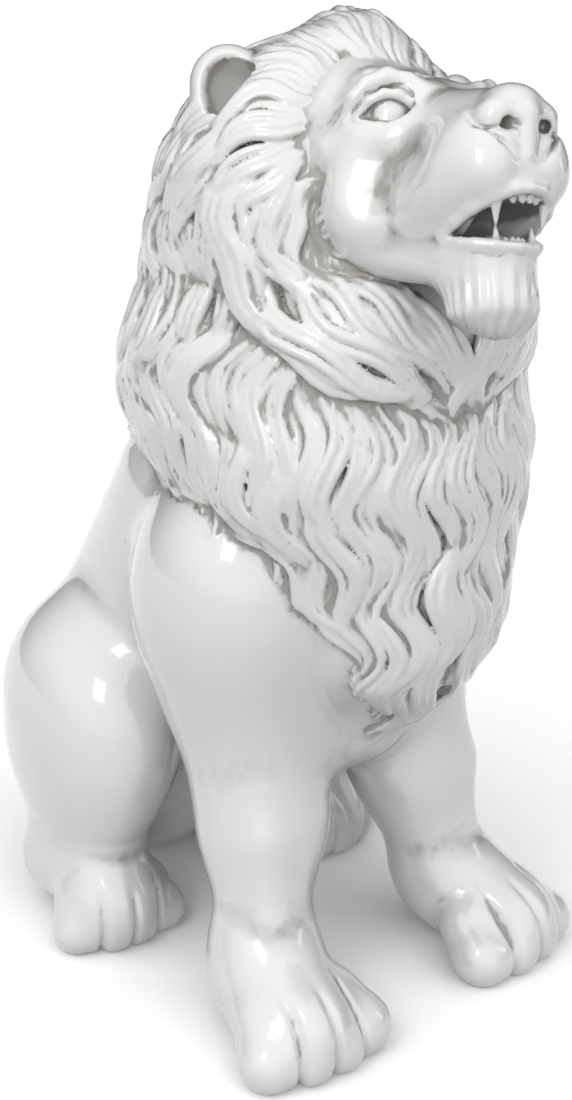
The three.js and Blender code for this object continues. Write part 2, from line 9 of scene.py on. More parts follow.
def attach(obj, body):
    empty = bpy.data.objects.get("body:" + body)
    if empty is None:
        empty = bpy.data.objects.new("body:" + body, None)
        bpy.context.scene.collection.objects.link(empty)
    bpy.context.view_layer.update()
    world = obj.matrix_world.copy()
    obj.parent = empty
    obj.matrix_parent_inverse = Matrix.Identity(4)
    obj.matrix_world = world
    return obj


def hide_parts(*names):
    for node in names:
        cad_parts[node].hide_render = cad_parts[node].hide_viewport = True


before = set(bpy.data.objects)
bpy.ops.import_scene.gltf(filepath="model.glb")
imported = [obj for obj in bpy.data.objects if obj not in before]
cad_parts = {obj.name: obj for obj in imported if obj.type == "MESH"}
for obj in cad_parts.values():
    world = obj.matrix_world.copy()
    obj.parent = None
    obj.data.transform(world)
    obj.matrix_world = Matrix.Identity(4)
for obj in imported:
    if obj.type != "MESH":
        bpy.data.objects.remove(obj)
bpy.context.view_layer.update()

startTime = time.time()


def report(text):
    print(f"{time.time() - startTime:5.0f} s  {text}")


# The cast is worked out in millimetres. It stands on z = 0 and looks along -Y, and its left side is
# at +X. A form gives the distance from each point to its surface, negative inside.
cast = {
    "middle": (-0.19, 69.23, 0),   # comes to the frame's origin
    "shoulderHeight": 620,
    "chestWidth": 210,
    "neckRadius": 235,
    "headPlace": (0, -221, 1244),  # between the eyes
    "headYaw": -9.6,               # turned to its right
    "headPitch": 20.6,             # looks up
    "headRoll": 9.1,               # leans to its left
    "maneDepth": 12,               # underlayer of the mane, over its core
    "soleDepth": 14,               # cut off flat at the ground
    "triangles": 196000,
}
frontPaw = {"x": 205, "y": -297, "turn": 7, "toe": 40, "reach": 90, "rise": 65, "spacing": 52,
            "grooveDepth": 8, "grooveWidth": 6, "grooveTop": 138}
hindPaw = {"x": 230, "y": 145, "turn": 12, "toe": 35, "reach": 62, "rise": 70, "spacing": 47,
           "grooveDepth": 7, "grooveWidth": 5.5, "grooveTop": 122}


# forms

def spin(tilt, turn, lean):
    matrix = Matrix.Rotation(math.radians(turn), 3, "Z")
    matrix = matrix @ Matrix.Rotation(math.radians(tilt), 3, "X")
    return np.array(matrix @ Matrix.Rotation(math.radians(lean), 3, "Y"), np.float32)


def lengths(q):
    return np.sqrt(np.einsum("ij,ij->i", q, q))


def unit(q):
    return q / np.maximum(lengths(q), 1e-6)[:, None]


def ball(p, centre, radii, tilt=0, turn=0, lean=0):
    q = p - np.float32(centre)
    if tilt or turn or lean:
        q = q @ spin(tilt, turn, lean)
    q /= np.float32(radii)
    near = lengths(q)
    q /= np.float32(radii)
    return near * (near - 1) / np.maximum(lengths(q), 1e-7)


def limb(p, start, end, startRadius, endRadius):
    along = np.float32(end) - np.float32(start)
    q = p - np.float32(start)
    t = np.clip(q @ along / float(along @ along), 0, 1)
    q -= t[:, None] * along
    return lengths(q) - (startRadius + (endRadius - startRadius) * t)


def melt(a, b, k):
    h = np.maximum(k - np.abs(a - b), 0)
    return np.minimum(a, b) - h * h * (0.25 / k)


def carve(a, tool, k):
    return -melt(-a, tool, k)


def limbChain(p, points, radii, k):
    d = limb(p, points[0], points[1], radii[0], radii[1])
    for i in range(1, len(points) - 1):
        d = melt(d, limb(p, points[i], points[i + 1], radii[i], radii[i + 1]), k)
    return d


def mirrored(p):
    q = p.copy()
    q[:, 0] = np.abs(q[:, 0])
    return q


def onlyNear(p, centre, reach, form):
    # a form is only worked out within reach of its middle, where it can matter
    away = lengths(p - np.float32(centre)) - reach
    d = away + 60
    close = away < 0
    if close.any():
        d[close] = form(p[close])
    return d


def headAxes():
    yaw, pitch, roll = (math.radians(cast[k]) for k in ("headYaw", "headPitch", "headRoll"))
    reach = math.cos(pitch)
    forward = Vector((math.sin(yaw) * reach, -math.cos(yaw) * reach, math.sin(pitch)))
    level = Vector((math.cos(yaw), math.sin(yaw), 0))
    upright = forward.cross(level)
    left = level * math.cos(roll) - upright * math.sin(roll)
    up = upright * math.cos(roll) + level * math.sin(roll)
    return np.array([left, forward, up], np.float32).T


axes = headAxes()
headPlace = np.float32(cast["headPlace"])


def toHead(p):
    return (p - headPlace) @ axes


def fromHead(q):
    return headPlace + np.float32(q) @ axes.T


# coat: trunk, haunches, legs, paws and tail

def pawPoint(paw, side, ahead, height):
    turn = math.radians(paw["turn"])
    forward, across = (math.sin(turn), -math.cos(turn)), (math.cos(turn), math.sin(turn))
    return (paw["x"] + across[0] * side + forward[0] * ahead,
            paw["y"] + across[1] * side + forward[1] * ahead, height)


def pawForm(m, paw):
    toe, spacing = paw["toe"], paw["spacing"]
    d = None
    for slot in (-1.5, -0.5, 0.5, 1.5):
        setBack = toe * (1.2 if abs(slot) > 1 else 0.85)
        tip = pawPoint(paw, slot * spacing, -setBack, toe * 0.9)
        root = pawPoint(paw, slot * spacing * 0.8, -paw["reach"], paw["rise"])
        one = limb(m, tip, root, toe, toe * 0.95)
        one = melt(one, ball(m, tip, (toe, toe * 1.15, toe * 1.05), turn=paw["turn"]), 10)
        d = one if d is None else melt(d, one, 22)
    return d


def toeGrooves(m, paw, d):
    turn = math.radians(paw["turn"])
    gap = m[:, :2] - np.float32((paw["x"], paw["y"]))
    side = gap[:, 0] * math.cos(turn) + gap[:, 1] * math.sin(turn)
    back = (gap[:, 1] * math.cos(turn) - gap[:, 0] * math.sin(turn)) / paw["reach"]
    pitch = paw["spacing"] * (1 - 0.17 * np.clip(back, 0, 1.6))
    nearest = np.clip(np.round(side / pitch), -1, 1) * pitch
    fade = np.clip((1.35 - back) / 0.9, 0, 1) * np.clip((paw["grooveTop"] - m[:, 2]) / 40, 0, 1)
    fade *= lengths(gap) < 3 * paw["reach"]
    return d + paw["grooveDepth"] * np.exp(-((side - nearest) / paw["grooveWidth"]) ** 2) * fade


def haunchForm(m):
    haunch = ball(m, (200, 305, 295), (105, 185, 205), tilt=-14, turn=10)
    haunch = melt(haunch, ball(m, (182, 285, 390), (110, 130, 105)), 60)
    return melt(haunch, ball(m, (195, 210, 340), (90, 110, 120)), 60)


def hindFootForm(m):
    hock = limb(m, (215, 330, 85), (224, 210, 85), 74, 70)
    hock = melt(hock, ball(m, (227, 190, 66), (76, 78, 68), turn=12), 30)
    return melt(hock, pawForm(m, hindPaw), 24)


def armForm(m):
    d = ball(m, (165, -30, cast["shoulderHeight"]), (127, 155, 180), tilt=14)
    d = melt(d, ball(m, (140, -40, 500), (106, 112, 150)), 60)
    foreleg = limbChain(m, ((130, -30, 440), (143, -68, 300), (172, -105, 140)), (88, 75, 69), 90)
    d = melt(d, foreleg, 80)
    ridge = limbChain(m, ((176, -92, 400), (186, -125, 300), (190, -140, 200)), (24, 22, 16), 30)
    d = melt(d, ridge, 30)
    d = melt(d, ball(m, (200, -178, 70), (82, 128, 67), turn=7), 85)
    return melt(d, pawForm(m, frontPaw), 24)


def tailForm(p):
    path = ((0, 512, 145), (45, 537, 60), (105, 522, 36), (165, 480, 35))
    stem = limbChain(p, path, (50, 36, 30, 28), 30)
    return melt(stem, ball(p, (213, 436, 42), (38, 64, 42), turn=38), 30)


def coatForm(p):
    m = mirrored(p)
    d = ball(p, (0, 400, 220), (180, 165, 220))
    d = melt(d, limb(p, (0, 360, 360), (0, 130, 680), 190, 200), 100)
    d = melt(d, ball(p, (0, -40, cast["shoulderHeight"] + 20), (cast["chestWidth"], 200, 220)), 100)
    d = melt(d, ball(p, (0, -40, 470), (140, 140, 150)), 80)
    d = melt(d, onlyNear(m, (200, 290, 300), 380, haunchForm), 75)
    d = melt(d, onlyNear(m, (220, 230, 80), 260, hindFootForm), 50)
    d = melt(d, onlyNear(m, (170, -120, 380), 520, armForm), 50)
    low = p[:, 2] < 200
    part, d2 = m[low], d[low]
    for paw in (frontPaw, hindPaw):
        d2 = toeGrooves(part, paw, d2)
    d[low] = d2
    return d


# mane core, which the locks lie on

def maneCoreForm(p):
    neck = ball(p, (0, 10, 920), (cast["neckRadius"], cast["neckRadius"] - 30, 240))
    d = melt(neck, ball(p, (0, -118, 830), (215, 180, 170)), 50)
    d = melt(d, ball(p, (0, -100, 680), (170, 200, 220), tilt=-8), 60)
    d = melt(d, limb(p, (0, -150, 600), (0, -110, 430), 110, 55), 60)
    d = melt(d, ball(p, (12, -145, 980), (188, 143, 135)), 50)
    d = melt(d, ball(p, (-8, -12, 1130), (190, 175, 195)), 60)
    h = toHead(p)
    d = melt(d, ball(h, (0, -178, -4), (158, 140, 130)), 60)
    return melt(d, ball(h, (0, -185, 95), (46, 80, 92)), 50)


# head, in its own frame: to its left, forward and up, from the point between the eyes

def skullForm(h, m):
    d = melt(ball(h, (0, -100, -20), (118, 140, 100)), ball(h, (0, -30, 5), (85, 75, 55)), 40)
    d = melt(d, limb(h, (0, 0, 4), (0, 155, -24), 45, 36), 30)
    d = melt(d, limb(m, (28, 40, -16), (34, 140, -50), 36, 34), 30)
    lipPad = melt(ball(m, (40, 115, -85), (40, 75, 46)), ball(m, (29, 164, -84), (35, 34, 43)), 24)
    d = melt(d, lipPad, 34)
    d = melt(d, ball(h, (0, 178, -98), (22, 20, 24)), 14)
    cheek = limb(m, (40, 100, -90), (68, -10, -90), 45, 55)
    cheek = melt(cheek, ball(m, (68, -50, -85), (55, 80, 80)), 40)
    cheek = melt(cheek, limb(m, (70, 30, -22), (100, -60, -18), 18, 25), 35)
    cheek = melt(cheek, ball(m, (40, 55, -135), (30, 62, 45)), 30)
    d = melt(d, cheek, 40)
    return carve(d, limb(m, (110, 74, -48), (118, 46, -82), 26, 28), 52)


def browForm(m):
    forehead = limb(m, (32, -50, 34), (28, 18, 14), 52, 42)
    ridge = ((107, -14, 12), (102, -2, 32), (91, 10, 46), (72, 24, 54), (50, 36, 47), (37, 48, 34))
    return melt(forehead, limbChain(m, ridge, (6, 9, 9, 9, 8, 7), 16), 12)


eye = {
    "middle": (62, 12, 9),
    "radius": 28,
    "upperLid": ((44, 42, 3), (55, 45, 19), (68, 40, 29), (82, 30, 31), (94, 17, 25), (104, 0, 8)),
    "lowerLid": ((44, 42, 0), (56, 44, -5), (72, 38, -9), (87, 26, -6), (104, 0, 5)),
    "crease": ((51, 49, 19), (67, 46, 38), (83, 35, 41), (98, 18, 32), (107, 2, 15)),
    "pouch": ((52, 40, -18), (78, 32, -24), (104, 0, -12)),
}


def eyeForm(m, d):
    d = melt(d, limb(m, (54, 22, 24), (88, -4, 24), 14, 13), 12)
    d = carve(d, ball(m, (76, 33, 10), (34, 12, 17), turn=-38), 5)
    d = melt(d, ball(m, eye["middle"], (eye["radius"],) * 3), 1.5)
    d = carve(d, limbChain(m, eye["crease"], (2, 3.5, 3.5, 3.5, 2), 3), 5)
    d = melt(d, limbChain(m, eye["upperLid"], (4, 6, 6.5, 6.5, 6, 4), 3), 2)
    d = melt(d, limbChain(m, eye["lowerLid"], (4, 4.6, 5, 4.6, 3.4), 3), 3)
    return melt(d, limbChain(m, eye["pouch"], (3, 4, 3), 8), 14)


def noseForm(h, m, d):
    d = melt(d, ball(h, (0, 168, -16), (36, 33, 27)), 12)
    d = melt(d, ball(m, (31, 177, -28), (20, 20, 18), turn=-20), 12)
    d = melt(d, limb(h, (0, 191, -30), (0, 192, -74), 17, 9), 8)
    crease = ((58, 150, -14), (56, 172, -40), (36, 193, -62), (12, 204, -86), (0, 208, -94))
    d = carve(d, limbChain(m, crease, (2, 3.4, 3.4, 2.6, 2), 3), 6)
    d = carve(d, limb(m, (18, 207, -45), (30, 184, -38), 8.5, 7), 4)
    d = carve(d, limb(m, (26, 204, -50), (45, 182, -46), 4, 2), 5)
    philtrum = ((0, 206, -92), (0, 207, -106), (0, 202, -124))
    return carve(d, limbChain(h, philtrum, (2.4, 2.2, 2), 3), 5)


beard = {
    "ahead": 109,         # its middle, in the head's frame
    "middle": -198,
    "radii": (55, 62),    # across and ahead
    "half": 42,           # of its height
    "folds": 28,          # round the whole band
    "foldDepth": 1.6,
}


def jawForm(h, m):
    wide, deep = beard["radii"]
    girth = np.hypot(h[:, 0] / wide, (h[:, 1] - beard["ahead"]) / deep) * wide - wide
    band = beard["half"] - np.abs(h[:, 2] - beard["middle"])
    apron = carve(girth + 0.12 * np.clip(-172 - h[:, 2], 0, 90), band, 9)
    apron = melt(apron, ball(h, (0, 119, -234), (43, 39, 35)), 22)
    turn = np.arctan2(h[:, 0], h[:, 1] - 80)
    folds = beard["foldDepth"] * np.cos(turn * beard["folds"])
    apron = apron + folds * np.clip((-178 - h[:, 2]) / 45, 0, 1)
    return melt(apron, limb(m, (66, -50, -125), (36, 85, -180), 44, 26), 26)


mouth = {
    "corner": (106, -152),    # ahead and up, where the lips meet
    "palate": 0.36,           # rise of the upper lip, per length
    "tongue": 0.22,           # fall of the lower lip
    "upperLip": ((58, 104, -150), (57, 128, -141), (51, 155, -130), (38, 178, -121), (18, 193, -114),
                 (0, 198, -113)),
    "lowerLip": ((56, 106, -157), (51, 128, -163), (44, 146, -167), (30, 163, -171), (0, 172, -173)),
    "upperFang": ((34, 176, -116), (32, 169, -151)),   # root and tip
    "lowerFang": ((25, 160, -176), (25, 159, -147)),
}


def mouthWedge(h):
    # the factors turn a rise into a distance from the sloping wall
    ahead, rise = h[:, 1] - mouth["corner"][0], h[:, 2] - mouth["corner"][1]
    roof = (rise - ahead * mouth["palate"]) * 0.94
    floor = (-rise - ahead * mouth["tongue"]) * 0.976
    return np.maximum(roof, floor)


def mouthForm(h, m, d):
    throat = limb(h, (0, 160, -148), (0, 30, -150), 31, 28)
    d = carve(d, melt(mouthWedge(h), throat, 12), 7)
    d = carve(d, ball(h, (0, 138, -130), (36, 54, 20)), 8)
    d = carve(d, ball(h, (0, 134, -168), (33, 46, 14)), 8)
    d = melt(d, limbChain(m, mouth["upperLip"], (4, 5, 6, 6, 6, 6), 4), 8)
    d = melt(d, limbChain(m, mouth["lowerLip"], (4, 5, 5.5, 5.5, 5.5), 4), 8)
    d = melt(d, ball(h, (0, 116, -163), (23, 42, 14), tilt=-8), 5)
    d = melt(d, limb(m, *mouth["upperFang"], 8.5, 1.6), 2)
    d = melt(d, limb(m, *mouth["lowerFang"], 7.5, 1.4), 2)
    for slot in (4, 12):
        d = melt(d, ball(m, (slot, 163 - slot * 0.4, -168), (4, 4.5, 9)), 2)
        d = melt(d, ball(m, (slot * 1.3, 186 - slot * 0.4, -121), (5, 4, 7)), 2)
    return d


def headForm(p):
    h = toHead(p)
    m = mirrored(h)
    d = melt(skullForm(h, m), browForm(m), 18)
    d = eyeForm(m, d)
    d = noseForm(h, m, d)
    return mouthForm(h, m, melt(d, jawForm(h, m), 12))


def maneBed(p):
    core = maneCoreForm(p) - cast["maneDepth"]
    d = melt(coatForm(p), core, 20)
    return melt(d, onlyNear(p, headPlace, 420, headForm), 15)


def wholeForm(p):
    d = melt(maneBed(p), onlyNear(p, (110, 490, 90), 260, tailForm), 20)
    return np.maximum(d, -cast["soleDepth"] - p[:, 2])


# net of marks, closer together over the face

net = {
    "plainStep": 3.4,
    "fineStep": 2.2,
    "low": (-375, -480, -20),
    "high": (375, 640, 1440),
    "fineFrom": (-118, -460, 985),
    "fineTo": (112, -215, 1330),
    "coarseness": 4,               # first look, in steps
    "band": 6,                     # mm from the surface in which the forms are worked out exactly
    "headBand": 16,                # the same round the face
    "headMargin": 55,              # how far round the fine marks that reaches
}


def axisMarks(a):
    fineFrom, fineTo = net["fineFrom"][a], net["fineTo"][a]
    below = np.arange(fineFrom, net["low"][a], -net["plainStep"])[::-1]
    between = np.arange(fineFrom + net["fineStep"], fineTo, net["fineStep"])
    above = np.arange(between[-1] + net["plainStep"], net["high"][a], net["plainStep"])
    marks = np.concatenate([below, between, above]).astype(np.float32)
    spare = (len(marks) - 1) % net["coarseness"]
    return marks[:len(marks) - spare]


def boxPoints(xs, ys, zs):
    grid = np.meshgrid(xs, ys, zs, indexing="ij")
    return np.stack([g.ravel() for g in grid], 1)


def inSlices(form, points, most=400000):
    return np.concatenate([form(points[i:i + most]) for i in range(0, len(points), most)])


def spread(field, axis, n):
    # more marks along one axis, in straight lines between the old ones
    field = np.moveaxis(field, axis, 0)
    out = np.empty(((len(field) - 1) * n + 1,) + field.shape[1:], np.float32)
    for i in range(n):
        t = np.float32(i / n)
        out[i:-1:n] = field[:-1] * (1 - t) + field[1:] * t
    out[-1] = field[-1]
    return np.moveaxis(out, 0, axis)


def fillNet(marks):
    n = net["coarseness"]
    rough = [m[::n] for m in marks]
    field = inSlices(wholeForm, boxPoints(*rough)).reshape([len(m) for m in rough])
    for axis in range(3):
        field = spread(field, axis, n)
    field = np.ascontiguousarray(field)
    near = np.abs(field) < net["band"]
    margin = net["headMargin"]
    ends = [(net["fineFrom"][a] - margin, net["fineTo"][a] + margin) for a in range(3)]
    head = tuple(slice(*np.searchsorted(marks[a], ends[a])) for a in range(3))
    near[head] = np.abs(field[head]) < net["headBand"]
    i, j, k = np.nonzero(near)
    points = np.stack([marks[0][i], marks[1][j], marks[2][k]], 1)
    field[i, j, k] = inSlices(wholeForm, points)
    report(f"form worked out at {len(i)} marks of {field.size}")
    return field


# mane: locks combed between guides, each tier over the one before

# a guide has degrees from the front round to either side and heights, or places in the head's frame
chestGuides = (
    ((-2, 925), (-3, 850), (-2, 760), (0, 660), (4, 560), (8, 470), (8, 400)),
    ((20, 955), (22, 880), (22, 790), (20, 690), (20, 600), (23, 520), (26, 440)),
    ((36, 985), (38, 905), (39, 820), (38, 740), (34, 660), (33, 590), (34, 520)),
    ((50, 1000), (54, 920), (55, 840), (53, 770), (48, 700), (42, 640), (38, 590)),
    ((64, 1030), (72, 960), (75, 890), (72, 820), (66, 760), (58, 710), (51, 665)),
    ((78, 1060), (88, 990), (93, 925), (90, 865), (83, 810), (76, 765), (70, 730)),
    ((90, 1075), (101, 1000), (107, 942), (106, 885), (100, 835), (93, 790), (88, 755)),
    ((106, 1090), (117, 1010), (123, 950), (124, 895), (121, 845), (116, 805), (112, 780)),
    ((130, 1095), (137, 1010), (141, 940), (141, 880), (139, 830), (136, 800), (134, 780)),
    ((155, 1090), (158, 1000), (160, 930), (160, 870), (159, 825), (158, 800), (157, 785)),
    ((180, 1080), (180, 1000), (180, 930), (180, 870), (180, 830), (180, 805), (180, 790)),
)
sideGuides = (
    ((72, 1247), (84, 1190), (88, 1130), (86, 1080), (78, 1035)),
    ((90, 1245), (98, 1202), (103, 1146), (105, 1094), (96, 1045)),
    ((106, 1250), (114, 1200), (118, 1140), (120, 1085), (115, 1030)),
    ((125, 1240), (132, 1180), (136, 1120), (138, 1060), (134, 1005)),
    ((150, 1230), (154, 1170), (157, 1100), (158, 1040), (155, 985)),
    ((180, 1225), (180, 1160), (180, 1090), (180, 1030), (180, 975)),
)
collarGuides = (
    ((77, 1247), (89, 1152), (86, 1090), (71, 1022), (50, 985), (30, 946), (1, 890)),
    ((57, 1262), (74, 1180), (75, 1103), (62, 1020), (42, 975), (22, 945), (0, 895)),
    ((49, 1239), (65, 1170), (63, 1100), (50, 1045), (36, 1003), (20, 955), (0, 900)),
    ((41, 1209), (58, 1160), (56, 1100), (43, 1055), (32, 1018), (18, 975), (0, 905)),
    ((38, 1178), (50, 1135), (49, 1088), (36, 1064), (27, 1030), (14, 985), (-1, 912)),
    ((40, 1150), (43, 1120), (38, 1093), (26, 1066), (15, 1030), (5, 980), (-2, 920)),
    ((12, 1002), (9, 992), (5, 978), (1, 962), (-2, 945), (-4, 925), (-5, 905)),
)
crownGuides = (
    ((0, -50, 98), (0, -98, 180), (0, -170, 215), (0, -260, 180), (0, -330, 90), (0, -360, -30)),
    ((28, -66, 100), (34, -105, 165), (50, -172, 198), (66, -258, 165),
     (66, -325, 80), (64, -355, -30)),
    ((56, -84, 92), (62, -122, 138), (92, -178, 168), (115, -250, 135),
     (117, -315, 60), (112, -335, -40)),
    ((82, -86, 66), (100, -128, 102), (132, -170, 130), (150, -235, 110),
     (150, -300, 30), (140, -320, -60)),
    ((98, -84, 35), (128, -124, 42), (150, -160, 15), (163, -205, -20),
     (160, -250, -70), (150, -270, -110)),
    ((106, -86, -8), (132, -122, -25), (150, -155, -60), (158, -185, -100),
     (155, -205, -140), (148, -215, -165)),
    ((110, -86, -48), (128, -108, -75), (142, -130, -110), (148, -150, -140),
     (146, -165, -165), (140, -175, -185)),
)
# rows say where along the guides the locks start and end,
# pitch and gap how far apart locks and strands lie
tiers = (
    {"guides": chestGuides, "pitch": 15, "rows": ((0, 1),), "strands": 1,
     "gap": 0, "radius": (6.5, 8.5), "wave": 15, "stray": 0.8, "lift": 0},
    {"guides": chestGuides, "pitch": 33, "rows": ((0.52, 1), (0.26, 0.8), (0, 0.52)), "strands": 3,
     "gap": 13.5, "radius": (6.8, 8.6), "wave": 15, "stray": 0.8, "lift": 14},
    {"guides": sideGuides, "pitch": 17, "rows": ((0, 1),), "strands": 1,
     "gap": 0, "radius": (7, 8.5), "wave": 10, "stray": 0.4, "lift": -1},
    {"guides": sideGuides, "pitch": 36, "rows": ((0.4, 1.12), (0, 0.62)), "strands": 3,
     "gap": 13.5, "radius": (6.8, 8.6), "wave": 10, "stray": 0.4, "lift": 14},
    {"guides": collarGuides, "pitch": 16, "rows": ((0, 1),), "strands": 1,
     "gap": 0, "radius": (8, 10), "wave": 8, "stray": 0.3, "lift": 5},
    {"guides": collarGuides, "pitch": 32, "rows": ((0.3, 1), (0, 0.66)), "strands": 3,
     "gap": 13.5, "radius": (7, 9), "wave": 8, "stray": 0.3, "lift": 15},
    {"guides": crownGuides, "pitch": 16, "rows": ((0, 1),), "strands": 1,
     "gap": 0, "radius": (7, 8), "wave": 7, "stray": 0.3, "lift": -1},
    {"guides": crownGuides, "pitch": 33, "rows": ((0.55, 1.1), (0.25, 0.75), (0, 0.45)), "strands": 3,
     "gap": 13, "radius": (6.8, 8.2), "wave": 7, "stray": 0.3, "lift": 11},
)
mane = {
    "seed": 11,
    "guidePieces": 24,     # straight pieces in a guide
    "steps": 16,           # and in a lock
    "waveLength": 145,     # mm along the hair
    "drift": 70,           # mm across the hair, over which the wave shifts by a radian
    "easeOver": 40,        # mm over which the wave starts and ends
    "liftSpread": (0.5, 1.25),
    "bedded": 0.3,         # how deep a strand lies in the bed, of its radius
    "rootSink": 0.9,       # how much deeper its root lies
    "rootRise": 11,        # how fast it comes up
    "within": 2.5,         # how softly the strands of a lock join
    "between": 1,          # and one lock with the next
}


def slope(p, form, reach=1.5):
    # outward direction of a form's surface, from four feelers
    d = 0
    for feeler in ((1, -1, -1), (-1, -1, 1), (-1, 1, -1), (1, 1, 1)):
        d = d + np.float32(feeler) * form(p + np.float32(feeler) * reach)[:, None]
    return unit(d)


def layOn(p):
    out = slope(p, maneBed)
    return p - (maneBed(p) * 0.9)[:, None] * out, out


# a guide in degrees turns about a line inside the mane, and one in the head's frame about a point
maneAxis = {
    "heights": (450, 1200),
    "foot": -90,           # its place along y, at the lower height
    "slope": 0.09,
    "inHead": (0, -170, 0),
    "farOut": 330,         # beyond every lock
}


def guidePlaces(guide, side):
    # from far out, straight in to the bed of the mane
    if guide.shape[-1] == 2:
        turn, height = np.radians(guide[..., 0]) * side, guide[..., 1]
        low, high = maneAxis["heights"]
        axisY = maneAxis["foot"] + (np.clip(height, low, high) - low) * maneAxis["slope"]
        middle = np.stack([0 * height, axisY, height], -1)
        out = np.stack([np.sin(turn), -np.cos(turn), 0 * height], -1)
    else:
        local = guide * np.float32((side, 1, 1)) - np.float32(maneAxis["inHead"])
        middle = np.broadcast_to(fromHead(maneAxis["inHead"]), guide.shape)
        out = local @ axes.T
    middle, out = (np.float32(v.reshape(-1, 3)) for v in (middle, out))
    out = unit(out)
    p = middle + out * maneAxis["farOut"]
    for _ in range(22):
        p = p - out * (maneBed(p) * 0.85)[:, None]
    return p.reshape(guide.shape[:-1] + (3,))


def eased(path, n):
    # n places evenly along a path, its corners rounded off
    t = np.linspace(0, len(path) - 1, n)
    columns = [np.interp(t, np.arange(len(path)), path[:, a]) for a in range(path.shape[1])]
    out = np.stack(columns, 1)
    for _ in range(3):
        out[1:-1] = (out[:-2] + 2 * out[1:-1] + out[2:]) / 4
    return out


def combTier(tier, side, rng):
    full = mane["guidePieces"]
    guides = np.stack([eased(np.float32(g), full + 1) for g in tier["guides"]])
    places = guidePlaces(guides, side)
    widths = np.linalg.norm(places[1:] - places[:-1], axis=2)
    wide = np.sort(widths, 1)[:, -8]
    far = np.concatenate([[0], np.cumsum(wide)])
    spans = np.linalg.norm(places[:, 1:] - places[:, :-1], axis=2).sum(1)
    routes, runs, phases = [], [], []
    for start, end in tier["rows"]:
        for n, width in enumerate(wide):
            count = max(1, round(width / tier["pitch"]))
            for slot in range(count):
                u = (slot + rng.uniform(0.2, 0.8)) / count
                if tier["strands"] > 1:
                    first = np.clip(start + rng.uniform(-0.05, 0.05), 0, 1)
                    last = end + rng.uniform(-0.08, 0.08)
                else:
                    first, last = start, end + rng.uniform(-0.06, 0)
                t = np.linspace(first, min(last, 1), mane["steps"] + 1) * full
                low = np.minimum(t.astype(int), full - 1)
                part = (t - low)[:, None]
                one = places[n, low] * (1 - part) + places[n, low + 1] * part
                two = places[n + 1, low] * (1 - part) + places[n + 1, low + 1] * part
                routes.append(one * (1 - u) + two * u)
                runs.append(t / full * (spans[n] * (1 - u) + spans[n + 1] * u))
                phase = (far[n] + u * width) / mane["drift"]
                phases.append(phase + rng.uniform(-1, 1) * tier["stray"])
    return np.float32(routes), np.float32(runs), np.float32(phases)


def growTier(tier, side, rng):
    routes, runs, phases = combTier(tier, side, rng)
    n = mane["steps"] + 1
    p, out = layOn(routes.reshape(-1, 3))
    p, out = p.reshape(-1, n, 3), out.reshape(-1, n, 3)
    along = np.gradient(p, axis=1)
    across = np.cross(out, along)
    across /= np.maximum(np.linalg.norm(across, axis=2), 1e-6)[..., None]
    wave = tier["wave"] * np.sin(2 * math.pi * runs / mane["waveLength"] + phases[:, None] * side)
    since = runs - runs[:, :1]
    ends = np.clip(np.minimum(since, since[:, -1:] - since + 25) / mane["easeOver"], 0, 1)
    p = p + across * (wave * ends)[..., None]
    t = np.linspace(0, 1, n)
    locks = []
    for place, o, a in zip(p, out, across):
        girth = rng.uniform(*tier["radius"])
        taper = 1 - 0.9 * np.clip((t - 0.45) / 0.55, 0, 1) ** 1.4
        width = taper * (0.5 + 0.5 * np.minimum(t * 3, 1))
        rise = tier["lift"] * rng.uniform(*mane["liftSpread"]) * np.sin(math.pi * (0.04 + 0.9 * t))
        rise -= girth * (mane["bedded"] + mane["rootSink"] * np.exp(-t * mane["rootRise"]))
        strands = []
        for k in range(tier["strands"]):
            slot = k - (tier["strands"] - 1) / 2
            ripple = 1.6 * np.sin(6 * t + rng.uniform(0, 6.3))
            offset = slot * tier["gap"] * width + ripple
            lean = rng.uniform(-2, 2) * np.minimum(t * 3, 1) - 1.5 * abs(slot) ** 2
            route = place + a * offset[:, None] + o * (rise + lean)[:, None]
            swell = 0.3 + 0.7 * np.sin(math.pi * (0.12 + 0.8 * t)) ** 0.8
            radii = girth * rng.uniform(0.85, 1.1) * swell
            reach = int(rng.integers(n - 3, n + 1)) if tier["strands"] > 1 else n
            strands.append((np.float32(route[:reach]), np.float32(radii[:reach])))
        locks.append(strands)
    return locks


def strandForm(marks, edges, route, radii):
    own = np.full([e[1] - e[0] for e in edges], 50, np.float32)
    for i in range(len(route) - 1):
        a, b = route[i], route[i + 1]
        ra, rb = radii[i], radii[i + 1]
        reach = max(ra, rb) + 2 * net["plainStep"]
        cut, gaps = [], []
        for n in range(3):
            s, e = np.searchsorted(marks[n], (min(a[n], b[n]) - reach, max(a[n], b[n]) + reach))
            s, e = max(s, edges[n][0]), min(e, edges[n][1])
            cut.append(slice(s - edges[n][0], e - edges[n][0]))
            gaps.append(marks[n][s:e] - a[n])
        gaps = [gaps[0][:, None, None], gaps[1][None, :, None], gaps[2][None, None, :]]
        along = b - a
        square = float(along @ along)
        dot = gaps[0] * along[0] + gaps[1] * along[1] + gaps[2] * along[2]
        t = np.clip(dot / square, 0, 1)
        away = gaps[0] ** 2 + gaps[1] ** 2 + gaps[2] ** 2 + t * (t * square - 2 * dot)
        d = np.sqrt(np.maximum(away, 0)) - (ra + (rb - ra) * t)
        part = own[tuple(cut)]
        np.minimum(part, d, out=part)
    return own


